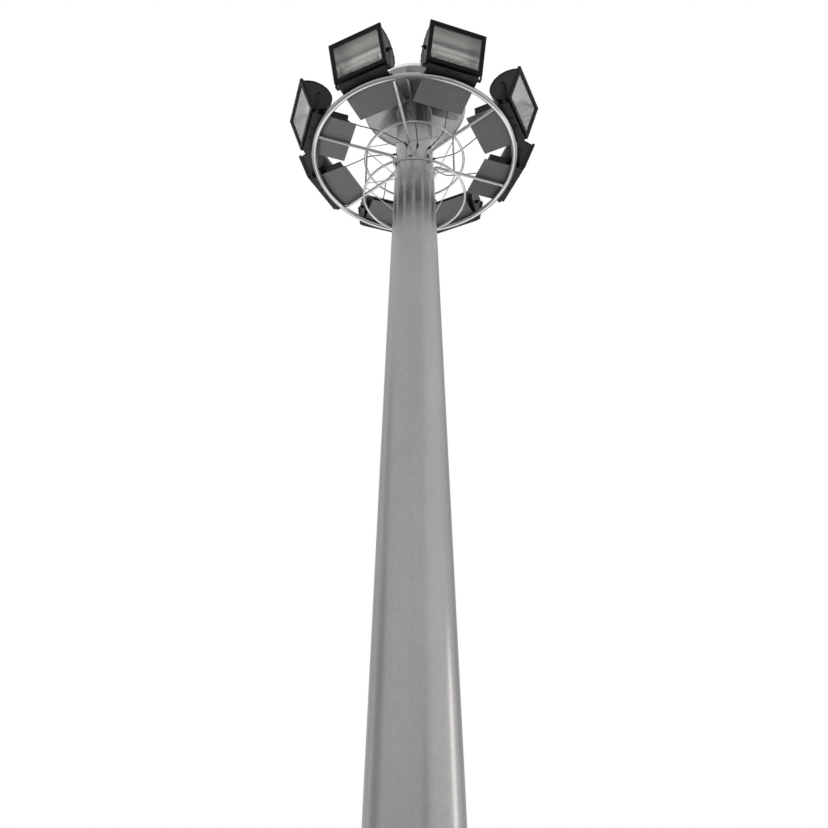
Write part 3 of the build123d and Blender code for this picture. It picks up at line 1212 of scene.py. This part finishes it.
@dataclass
class Floodlight:
    """What is fixed to one floodlight: screws, gasket, lamp and holder, pivot heads, seams.

    A profile gives places along the lamp's axis with the radius there. The gasket's section
    gives how far each corner is set in from the pane's edge, and forward of the pane.
    """

    index: int
    pivot_height: float = 8.966004
    aim: float = 21.0
    front: float = 0.155
    pane_front: float = 0.142
    width: float = 0.644
    height: float = 0.460
    bar: float = 0.042
    drum_centre: float = 0.057
    drum_radius: float = 0.220
    drum_half_width: float = 0.304
    rim: float = 0.014
    rim_spaces: int = 8
    seam_radius: float = 0.0022
    seam_sides: int = 12
    pivot_end: float = 0.341
    lamp_place: float = -0.034
    lamp_sides: int = 32
    gasket_section: tuple[tuple[float, float], ...] = (
        (0.0, 0.0), (0.0, 0.004), (0.004, 0.004), (0.007, 0.0),
    )
    holder_profile: tuple[tuple[float, float], ...] = (
        (0.275, 0.0300), (0.270, 0.0330), (0.205, 0.0330), (0.200, 0.0290),
    )
    lamp_profile: tuple[tuple[float, float], ...] = (
        (0.199, 0.0170), (0.180, 0.0180), (0.160, 0.0230), (-0.150, 0.0230),
        (-0.163, 0.0207), (-0.171, 0.0138), (-0.174, 0.0046),
    )

    @property
    def body(self) -> str:
        """The CAD body that it rides on."""
        return f"floodlight_{self.index + 1}"

    @property
    def place(self) -> Matrix:
        """Local frame at the pivot: X along the aim, Y up the front, Z along the pivot.

        Returns:
            The frame's matrix.
        """
        azimuth = LIGHT_AZIMUTHS[self.index]
        dip = math.radians(self.aim)
        forward = outward(azimuth) * math.cos(dip) - UP * math.sin(dip)
        along = -sideways(azimuth)
        turn = Matrix((forward, along.cross(forward), along)).transposed().to_4x4()
        return Matrix.Translation(around(PIVOT_RADIUS, azimuth, self.pivot_height)) @ turn

    def at(self, along: float, rise: float, side: float) -> Vector:
        """Point given along the aim, up the front and along the pivot."""
        return self.place @ Vector((along, rise, side))

    def screws(self, tree: GeometryTree) -> None:
        """Adds the cap screws round the bezel.

        Args:
            tree: the tree that makes them.
        """
        sizes = BezelScrews(self.width - self.bar, self.height - self.bar)
        piece = tree.build(f"{self.body}_screws", Finish.BEZEL, sizes)
        turn = Matrix.Rotation(math.pi / 2, 4, "Y")
        piece.data.transform(self.place @ Matrix.Translation((self.front, 0, 0)) @ turn)
        settle(piece, self.body)

    def gasket(self) -> None:
        """Adds the rubber bead where the pane meets the bezel."""
        half_width = self.width / 2 - self.bar
        half_height = self.height / 2 - self.bar
        work = bmesh.new()
        loops = [
            [
                work.verts.new(Vector((
                    self.pane_front + lift, rise * (half_height - inset),
                    side * (half_width - inset),
                )))
                for side, rise in ((-1, -1), (1, -1), (1, 1), (-1, 1))
            ]
            for inset, lift in self.gasket_section
        ]
        for near, far in zip(loops, [*loops[1:], loops[0]]):
            for corner in range(4):
                after = (corner + 1) % 4
                work.faces.new((near[corner], near[after], far[after], far[corner]))
        name = f"{self.body}_gasket"
        settle_mesh(work, name, Finish.GASKET, self.body, self.place)

    def lathe(
        self, name: str, profile: tuple[tuple[float, float], ...], finish: Finish
    ) -> None:
        """Adds a turned piece along the lamp's axis.

        Args:
            name: the piece's name, after the body's.
            profile: places along the axis and radii there.
            finish: its finish.
        """
        work = bmesh.new()
        angles = [math.tau * side / self.lamp_sides for side in range(self.lamp_sides)]
        rings = [
            [
                work.verts.new((
                    self.lamp_place + radius * math.cos(angle), radius * math.sin(angle), along,
                ))
                for angle in angles
            ]
            for along, radius in profile
        ]
        for near, far in zip(rings, rings[1:]):
            for side in range(self.lamp_sides):
                after = (side + 1) % self.lamp_sides
                work.faces.new((near[side], near[after], far[after], far[side]))
        work.faces.new(rings[0])
        work.faces.new(rings[-1])
        settle_mesh(work, f"{self.body}_{name}", finish, self.body, self.place)

    def put_heads(self, heads: Heads, name: str, head: Head, places: list[Place]) -> None:
        """Sets heads on this floodlight in its own black."""
        look = (self.body, Finish.HOUSING, Slot.LIGHT)
        heads.put(f"{self.body}_{name}", head, places, *look)

    def end_out(self, side: int) -> Vector:
        """Direction that an end plate faces."""
        return self.place.to_3x3() @ Vector((0.0, 0.0, side))

    def end_screws(self, heads: Heads) -> None:
        """Adds the screws round the rim of both end plates.

        Args:
            heads: sets them.
        """
        places = []
        rim_radius = self.drum_radius - self.rim / 2
        for side in SIDES:
            for step in range(self.rim_spaces + 1):
                angle = math.pi / 2 + math.pi * step / self.rim_spaces
                along = self.drum_centre + rim_radius * math.cos(angle)
                rise = rim_radius * math.sin(angle)
                point = self.at(along, rise, side * self.drum_half_width)
                places.append(Place(point, self.end_out(side)))
        self.put_heads(heads, "end_screws", Head.END_SCREW, places)

    def pivot_heads(self, heads: Heads) -> None:
        """Adds a hexagon head on the outside of each pivot.

        Args:
            heads: sets them.
        """
        places = [
            Place(self.at(0.0, 0.0, side * self.pivot_end), self.end_out(side))
            for side in SIDES
        ]
        self.put_heads(heads, "pivot_heads", Head.PIVOT_BOLT, places)

    def seams(self) -> None:
        """Adds the folded seam along the drum's top and bottom, where its round back begins."""
        work = bmesh.new()
        for rise in SIDES:
            place = Matrix.Translation((self.drum_centre, rise * self.drum_radius, 0.0))
            bmesh.ops.create_cone(
                work, cap_ends=True, segments=self.seam_sides, radius1=self.seam_radius,
                radius2=self.seam_radius, depth=2 * self.drum_half_width, matrix=place,
            )
        name = f"{self.body}_seams"
        settle_mesh(work, name, Finish.HOUSING, self.body, self.place)

    def build(self, screws: GeometryTree, heads: Heads) -> None:
        """Makes all of it.

        Args:
            screws: makes the bezel's screws.
            heads: sets the other screws and heads.
        """
        self.screws(screws)
        self.gasket()
        self.lathe("lamp_holder", self.holder_profile, Finish.HOLDER)
        self.lathe("lamp", self.lamp_profile, Finish.LAMP)
        self.end_screws(heads)
        self.pivot_heads(heads)
        self.seams()


# ---- Base hardware -------------------------------------------------------------------------


@dataclass(frozen=True)
class AnchorBolts:
    """Anchor bolts on the base flange, each with a washer, a nut and a threaded end."""

    count: int = 16
    circle_radius: float = 0.520
    flange_top: float = FLANGE_TOP
    bolt_radius: float = 0.018
    core_radius: float = 0.01674
    washer_radius: float = 0.033
    washer_height: float = 0.005
    nut_radius: float = 0.0318
    nut_height: float = 0.029
    crown_radius: float = 0.026712
    crown_height: float = 0.002
    thread_end: float = 0.055
    ridge_height: float = 0.0018
    ridges: int = 5
    sides: ClassVar[int] = 24
    washer_sides: ClassVar[int] = 32
    nut_sides: ClassVar[int] = 6
    first_ridge: ClassVar[Point] = (0.0, 0.0, 0.037)
    ridge_spacing: ClassVar[Point] = (0.0, 0.0, 0.0036)
    widest_turn: ClassVar[Point] = (0.0, 0.0, 1.047)
    seed: ClassVar[int] = 7

    def bolt(self, tree: GeometryTree) -> Socket:
        """One bolt with its washer and nut, standing on its foot.

        Args:
            tree: the tree to build it in.

        Returns:
            The bolt's geometry socket.
        """
        lift = tree.read("washer_height")
        washer = tree.drum(tree.read("washer_radius"), lift, self.washer_sides)
        nut_height = tree.read("nut_height")
        nut = tree.drum(tree.read("nut_radius"), nut_height, self.nut_sides, lift)
        nut_top = tree.math("ADD", lift, nut_height)
        crown_size = (tree.read("crown_radius"), tree.read("crown_height"))
        crown = tree.drum(*crown_size, self.sides, nut_top)
        core = tree.drum(tree.read("core_radius"), tree.read("thread_end"), self.sides)
        ridge = tree.drum(tree.read("bolt_radius"), tree.read("ridge_height"), self.sides)
        line = tree.run(
            "GeometryNodeMeshLine", "Mesh", Count=tree.read("ridges"),
            Start_Location=self.first_ridge, Offset=self.ridge_spacing,
        )
        return tree.join(washer, nut, crown, core, tree.copies(line, ridge))

    def build(self) -> None:
        """Sets them round the flange, each turned by a random angle."""
        tree = GeometryTree("anchor_bolts", AnchorBolts)
        circle = tree.run(
            "GeometryNodeMeshCircle", "Mesh",
            Vertices=tree.read("count"), Radius=tree.read("circle_radius"),
        )
        random = tree.add("FunctionNodeRandomValue", data_type="FLOAT_VECTOR")
        tree.feed(random.inputs[0], (0.0, 0.0, 0.0))
        tree.feed(random.inputs[1], self.widest_turn)
        turn = tree.run(random, "Value", Seed=self.seed)
        bolts = tree.copies(circle, self.bolt(tree), Rotation=turn)
        tree.close(tree.raised(bolts, tree.read("flange_top")))
        settle(tree.build("anchor_bolts", Finish.FIXING, self), TOWER)


# ---- Small parts on the tower --------------------------------------------------------------


@dataclass
class CarrierFixings:
    """Bolts of the stirrups, and the lids of the control gear boxes with their screws."""

    plate_top: float = 8.676
    stirrup_bar: float = 0.006
    bolt_offset: float = 0.060
    gear_inner: float = 0.895
    gear_depth: float = 0.195
    gear_half_width: float = 0.259
    gear_top: float = 8.815
    lid_lip: float = 0.018
    lid_proud: float = 0.002
    lid_edge: float = 0.0018
    lid_screw_spacing: float = 0.2

    @property
    def gear_middle(self) -> float:
        """Distance of a gear box's middle from the mast's axis."""
        return self.gear_inner + self.gear_depth / 2

    def bolts(self, heads: Heads) -> None:
        """Adds two low-headed bolts through each stirrup's foot, with nuts under the plate.

        Args:
            heads: sets them.
        """
        top = self.plate_top + self.stirrup_bar
        tops = [
            Place(around(PIVOT_RADIUS, azimuth, top, side * self.bolt_offset), UP)
            for azimuth in LIGHT_AZIMUTHS
            for side in SIDES
        ]
        through = UP * (2 * self.stirrup_bar)
        undersides = [Place(place.point - through, -UP) for place in tops]
        look = (TOWER, Finish.STIRRUP, Slot.DARK_STEEL)
        heads.put("stirrup_bolts", Head.STIRRUP_BOLT, tops, *look)
        heads.put("stirrup_nuts", Head.STIRRUP_NUT, undersides, *look)

    def lids(self) -> None:
        """Adds the folded lid over each gear box, its lip turned down round the sides."""
        work = bmesh.new()
        depth = self.gear_depth + 2 * self.lid_proud
        width = 2 * (self.gear_half_width + self.lid_proud)
        height = self.lid_lip + self.lid_proud
        middle_height = self.gear_top + self.lid_proud - height / 2
        for azimuth in LIGHT_AZIMUTHS:
            place = (
                Matrix.Translation(around(self.gear_middle, azimuth, middle_height))
                @ Matrix.Rotation(math.radians(azimuth), 4, "Z")
                @ Matrix.Diagonal((width, depth, height, 1.0))
            )
            bmesh.ops.create_cube(work, size=1.0, matrix=place)
        bmesh.ops.bevel(
            work, geom=work.edges[:], offset=self.lid_edge, segments=2, profile=0.7,
            affect="EDGES",
        )
        settle_mesh(work, "gear_box_lids", Finish.GEAR, TOWER)

    def lid_screws(self, heads: Heads) -> None:
        """Adds screws through the lip, on the face towards the mast and on both sides.

        Args:
            heads: sets them.
        """
        height = self.gear_top - self.lid_lip / 2
        face = self.gear_inner - self.lid_proud
        edge = self.gear_half_width + self.lid_proud
        places = []
        for azimuth in LIGHT_AZIMUTHS:
            for step in (-1, 0, 1):
                point = around(face, azimuth, height, step * self.lid_screw_spacing)
                places.append(Place(point, -outward(azimuth)))
            for side in SIDES:
                point = around(self.gear_middle, azimuth, height, side * edge)
                places.append(Place(point, sideways(azimuth) * side))
        look = (TOWER, Finish.GEAR, Slot.DARK_STEEL)
        heads.put("gear_lid_screws", Head.LID_SCREW, places, *look)

    def build(self, heads: Heads) -> None:
        """Makes all of it.

        Args:
            heads: sets the bolts and screws.
        """
        self.bolts(heads)
        self.lids()
        self.lid_screws(heads)


@dataclass(frozen=True)
class Hem:
    """Rolled hem of a sheet dome: its centre line's radius, its own radius and its height."""

    radius: float
    bead: float
    height: float


@dataclass
class TowerFixings:
    """Gland nuts, door screws, weld beads and the canopy's rolled hem."""

    ring_radius: float = 1.200
    ring_tube: float = 0.032
    arm_tube: float = 0.019
    cage_radius: float = 0.592
    cage_low: float = 8.069
    cage_tube: float = 0.014
    post_radius: float = 0.010
    post_sink: float = 0.002
    weld_lift: float = 0.002
    weld_set_out: float = 0.001
    canopy_rim: float = 9.538
    canopy_radius: float = 0.642
    hem_bead: float = 0.0045
    hem_steps: int = 160
    hem_flats: int = 10
    door_screw_inset: float = 0.045
    box_nut_back: float = 0.022
    mast_nut_back: float = 0.024

    def gland_nuts(self, cables: SupplyCables, heads: Heads) -> None:
        """Adds a hexagon nut at the foot of each gland, on the box and on the mast.

        Args:
            cables: give the glands' places.
            heads: sets the nuts.
        """
        places = []
        for index in range(len(LIGHT_AZIMUTHS)):
            points = cables.points(index)
            from_box = (points[1] - points[0]).normalized()
            from_mast = (points[-2] - points[-1]).normalized()
            places.append(Place(points[0] - from_box * self.box_nut_back, from_box))
            places.append(Place(points[-1] - from_mast * self.mast_nut_back, from_mast))
        look = (TOWER, Finish.GLAND, Slot.PLASTIC)
        heads.put("gland_nuts", Head.GLAND_NUT, places, *look)

    def door_screws(self, heads: Heads) -> None:
        """Adds three-sided lock screws at the door's head and foot.

        Args:
            heads: sets them.
        """
        low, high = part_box("access_door")
        ends = (low[2] + self.door_screw_inset, high[2] - self.door_screw_inset)
        back = Vector((0.0, 1.0, 0.0))
        places = [Place(Vector((0.0, high[1], height)), back) for height in ends]
        heads.put("door_lock_screws", Head.DOOR_SCREW, places)

    def welds(self, collars: WeldCollars) -> None:
        """Adds beads at the mast's foot, the head plate, the arms' outer ends and the posts.

        Args:
            collars: sets them.
        """
        foot = Place(UP * (FLANGE_TOP + self.weld_lift), UP)
        foot_radius = mast_radius(FLANGE_TOP) + self.weld_set_out
        collars.put("weld_mast_foot", foot_radius, Bead.MAST_FOOT, [foot])
        head = Place(UP * (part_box("head_plate")[0][2] - self.weld_set_out), UP)
        head_radius = MAST_TOP_RADIUS + self.weld_set_out
        collars.put("weld_mast_head", head_radius, Bead.MAST_HEAD, [head])
        meeting = self.ring_radius - math.sqrt(self.ring_tube**2 - self.arm_tube**2 / 4)
        arm_ends = [
            Place(around(meeting, azimuth, RING_HEIGHT), outward(azimuth))
            for azimuth in ARM_AZIMUTHS
        ]
        collars.put("weld_arm_ends", self.arm_tube, Bead.ARM_END, arm_ends)
        post_foot = self.cage_low + self.cage_tube - self.post_sink
        post_feet = [
            Place(around(self.cage_radius, azimuth, post_foot), UP)
            for azimuth in ARM_AZIMUTHS[1::2]
        ]
        collars.put("weld_post_feet", self.post_radius, Bead.POST_FOOT, post_feet)

    def hem(self) -> None:
        """Adds the rolled hem round the canopy's rim."""
        tree = GeometryTree("rolled_hem", Hem)
        size = (tree.read("radius"), tree.read("bead"), self.hem_steps, self.hem_flats)
        tree.close(tree.raised(tree.hoop(*size), tree.read("height")))
        bead = self.hem_bead
        sizes = Hem(self.canopy_radius - bead, bead, self.canopy_rim + bead)
        settle(tree.build("canopy_hem", Finish.CANOPY, sizes), TOWER)

    def build(self, cables: SupplyCables, heads: Heads, collars: WeldCollars) -> None:
        """Makes all of it.

        Args:
            cables: give the glands' places.
            heads: sets the nuts and screws.
            collars: sets the weld beads.
        """
        self.gland_nuts(cables, heads)
        self.door_screws(heads)
        self.welds(collars)
        self.hem()


# ---- Studio --------------------------------------------------------------------------------


@dataclass(frozen=True)
class SoftLamp:
    """Rectangular soft lamp that shiny surfaces don't show.

    Its place, the point that it faces and its size are in metres, its power in watts, and
    the beam that its light spreads over in degrees.
    """

    name: str
    place: Point
    aim: Point
    size: float
    power: float
    beam: float = 180.0

    def hang(self) -> None:
        """Adds it to the scene."""
        light = bpy.data.lights.new(self.name, "AREA")
        light.shape = "RECTANGLE"
        light.size = light.size_y = self.size
        light.energy = self.power
        light.spread = math.radians(self.beam)
        lamp = add_object(self.name, light)
        lamp.visible_glossy = False
        lamp.visible_transmission = False
        lamp.location = self.place
        facing = Vector(self.aim) - Vector(self.place)
        lamp.rotation_euler = facing.to_track_quat("-Z", "Y").to_euler()


@dataclass(frozen=True)
class UprightCard:
    """Card that faces the mast, given by its direction, width and two heights."""

    name: str
    azimuth: float
    width: float
    low: float
    high: float
    tone: float
    distance: ClassVar[float] = 9.0

    def corners(self) -> list[Vector]:
        """Its corners in order."""
        left, right = -self.width / 2, self.width / 2
        ends = ((self.low, left), (self.low, right), (self.high, right), (self.high, left))
        return [around(self.distance, self.azimuth, height, side) for height, side in ends]


@dataclass(frozen=True)
class FloorCard:
    """Card lying on the floor, given by how far behind the mast it starts and ends."""

    name: str
    near: float
    far: float
    tone: float
    half_width: ClassVar[float] = 13.0
    lift: ClassVar[float] = 0.02

    def corners(self) -> list[Vector]:
        """Its corners in order."""
        ends = ((self.near, -1), (self.near, 1), (self.far, 1), (self.far, -1))
        return [Vector((side * self.half_width, depth, self.lift)) for depth, side in ends]


def set_up_card(card: UprightCard | FloorCard) -> None:
    """Adds a plain studio card that only shows in shiny surfaces.

    Args:
        card: the card, whose tone of 1 is the brightness of the surroundings.
    """
    mesh = bpy.data.meshes.new(card.name)
    corners = card.corners()
    mesh.from_pydata([tuple(corner) for corner in corners], [], [tuple(range(len(corners)))])
    material = bpy.data.materials.new(card.name)
    graph = NodeGraph(emptied(material))
    glow = graph.run("ShaderNodeEmission", "Emission", Color=(*WHITE, 1.0), Strength=card.tone)
    graph.feed(graph.add("ShaderNodeOutputMaterial").inputs["Surface"], glow)
    mesh.materials.append(material)
    thing = add_object(card.name, mesh)
    for switch in ("camera", "diffuse", "shadow", "transmission"):
        setattr(thing, f"visible_{switch}", False)


@dataclass
class Studio:
    """Pale floor, soft lights, reflected cards, world and camera."""

    sky: float = 0.62
    floor_radius: float = 40.0
    floor_sides: int = 96
    floor_fade: tuple[float, float] = (6.0, 30.0)
    floor_tone: Colour = (0.75, 0.75, 0.75)
    lamps: tuple[SoftLamp, ...] = (
        SoftLamp("key", (-9.0, -5.0, 15.0), (0.0, 0.0, 7.0), 5.0, 700.0),
        SoftLamp("fill", (-7.0, -4.0, 1.5), (0.0, 0.0, 8.6), 3.0, 95.0, beam=70.0),
    )
    cards: tuple[UprightCard | FloorCard, ...] = (
        UprightCard("card_strip", 99.7, 1.27, 0.0, 4.9, 4.2),
        UprightCard("card_left_low", -97.0, 4.8, 0.0, 6.5, 0.62),
        UprightCard("card_left_high", -97.0, 4.4, 6.5, 11.0, 0.74),
        UprightCard("card_front", 23.0, 0.9, 0.0, 3.4, 0.15),
        UprightCard("card_right", 68.0, 11.0, 0.0, 16.0, 1.20),
        UprightCard("card_edge_left", -145.0, 6.0, 0.0, 16.0, 0.72),
        UprightCard("card_edge_right", 145.0, 6.0, 0.0, 16.0, 0.62),
        FloorCard("card_before", -14.0, 2.5, 0.55),
        FloorCard("card_behind", 3.5, 20.0, 2.4),
    )
    eye: Point = (0.0, -6.7221, 1.5592)
    upward_tilt: float = 27.471
    lens: float = 33.266
    sensor: float = 36.0
    shift: tuple[float, float] = (-0.0005, 0.01398)
    view_depth: float = 200.0

    def world(self) -> None:
        """White behind the object, softer where it only lights it."""
        world = bpy.data.worlds.new("studio")
        bpy.context.scene.world = world
        graph = NodeGraph(emptied(world))
        level = graph.spread(graph.backdrop_share(), self.sky, 1.0, 0.0, 1.0)
        glow = graph.run(
            "ShaderNodeBackground", "Background", Color=(*WHITE, 1.0), Strength=level
        )
        graph.feed(graph.add("ShaderNodeOutputWorld").inputs["Surface"], glow)

    def floor(self) -> None:
        """Round pale floor that keeps the tower's shadow, and fades into the white far out."""
        work = bmesh.new()
        bmesh.ops.create_circle(
            work, cap_ends=True, radius=self.floor_radius, segments=self.floor_sides
        )
        mesh = baked(work, "floor")
        graph = ShaderGraph("floor_pale")
        share = graph.backdrop_share()
        graph.colour(graph.tint(share, self.floor_tone, WHITE))
        far = graph.spread(graph.set_out(), 0.0, 1.0, *self.floor_fade)
        cover = graph.spread(graph.math("MULTIPLY", share, far), 1.0, 0.0, 0.0, 1.0)
        graph.feed(graph.shader.inputs["Alpha"], cover)
        graph.set(Roughness=1.0, Specular_IOR_Level=0.0)
        mesh.materials.append(graph.material)
        add_object("floor", mesh)

    def camera(self) -> None:
        """Camera at a standing eye height, tilted up at the ring."""
        data = bpy.data.cameras.new("camera")
        data.lens = self.lens
        data.sensor_width = self.sensor
        data.shift_x, data.shift_y = self.shift
        data.clip_end = self.view_depth
        camera = add_object("camera", data)
        camera.location = self.eye
        camera.rotation_euler = (math.radians(90.0 + self.upward_tilt), 0.0, 0.0)
        bpy.context.scene.camera = camera

    def build(self) -> None:
        """Sets all of it up."""
        bpy.context.scene.view_settings.view_transform = "Standard"
        self.world()
        self.floor()
        for lamp in self.lamps:
            lamp.hang()
        for card in self.cards:
            set_up_card(card)
        self.camera()


# ---- Everything in order -------------------------------------------------------------------


def main() -> None:
    """Builds the studio and every piece."""
    logging.basicConfig(level=logging.INFO, format="%(name)s: %(message)s")
    Studio().build()
    cables = SupplyCables()
    cables.build()
    FrameDresser().dress()
    screws = bezel_screw_tree()
    heads = Heads()
    for index in range(len(LIGHT_AZIMUTHS)):
        Floodlight(index).build(screws, heads)
    CarrierFixings().build(heads)
    TowerFixings().build(cables, heads, WeldCollars())
    AnchorBolts().build()


if __name__ == "__main__":
    main()
